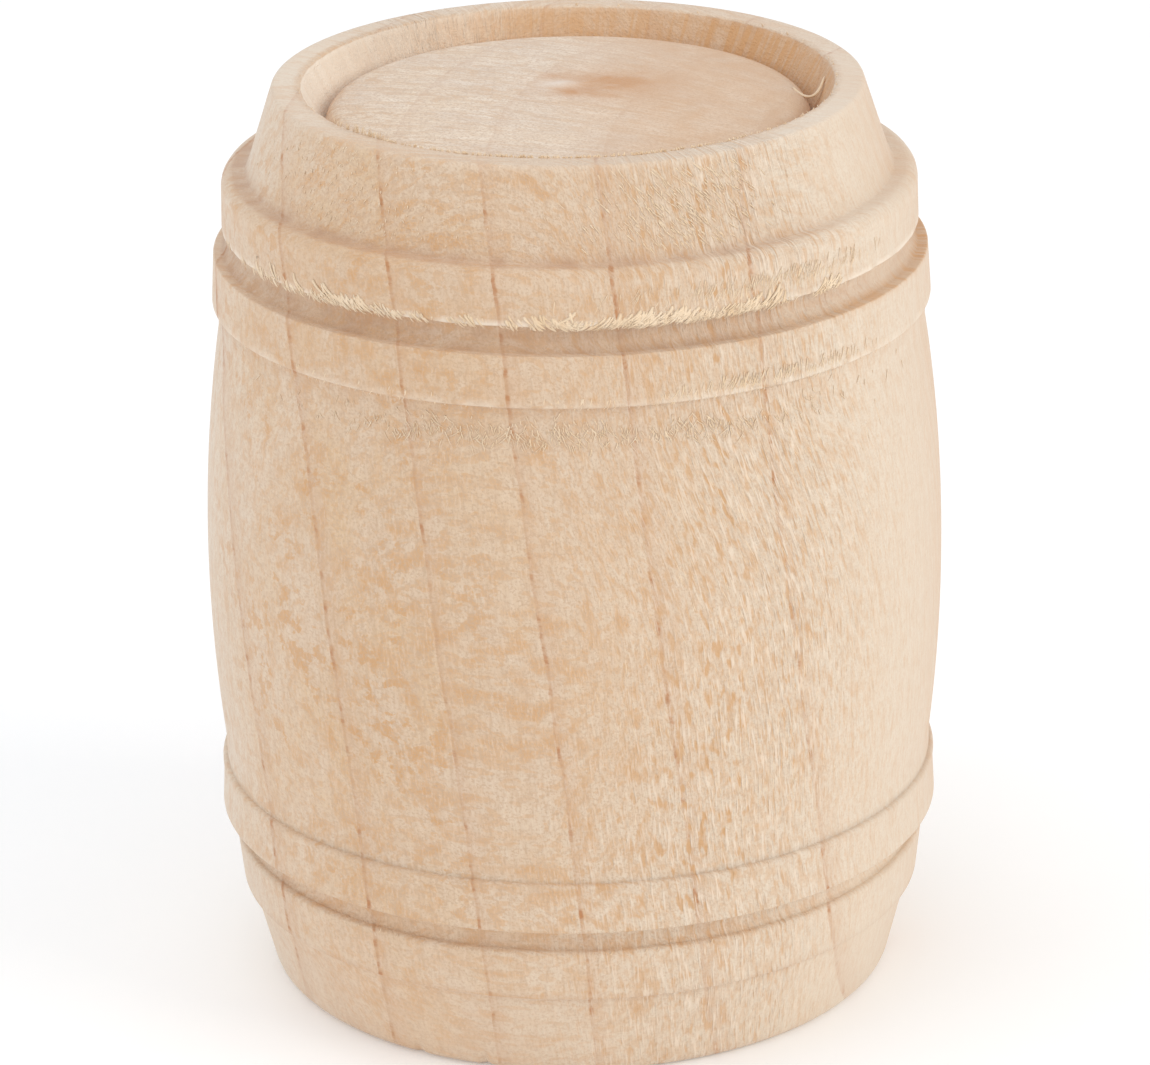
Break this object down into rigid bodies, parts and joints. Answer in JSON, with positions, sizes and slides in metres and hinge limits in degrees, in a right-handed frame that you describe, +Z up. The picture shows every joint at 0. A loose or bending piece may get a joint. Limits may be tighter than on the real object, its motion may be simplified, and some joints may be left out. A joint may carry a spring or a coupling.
{
  "type": "wooden barrel",
  "caption": "Small hollow turned barrel with a swelling belly, raised hoop beads near both ends and a low-domed head set inside each chime.",
  "frame": {"origin": "centre of the foot, on the surface that the barrel stands on", "axes": "+Z up along the turning axis, +X to the right and -Y towards the viewer of the pictured side"},
  "size_m": [0.0254, 0.0254, 0.0318],
  "materials": {
    "barrel_wall": "bare pale hardwood as it left the lathe knife",
    "top_head": "bare pale hardwood, turned end grain",
    "bottom_head": "bare pale hardwood, turned end grain"
  },
  "bodies": {
    "root": {"barrel_wall": "barrel_wall", "top_head": "top_head", "bottom_head": "bottom_head"}
  },
  "joints": []
}
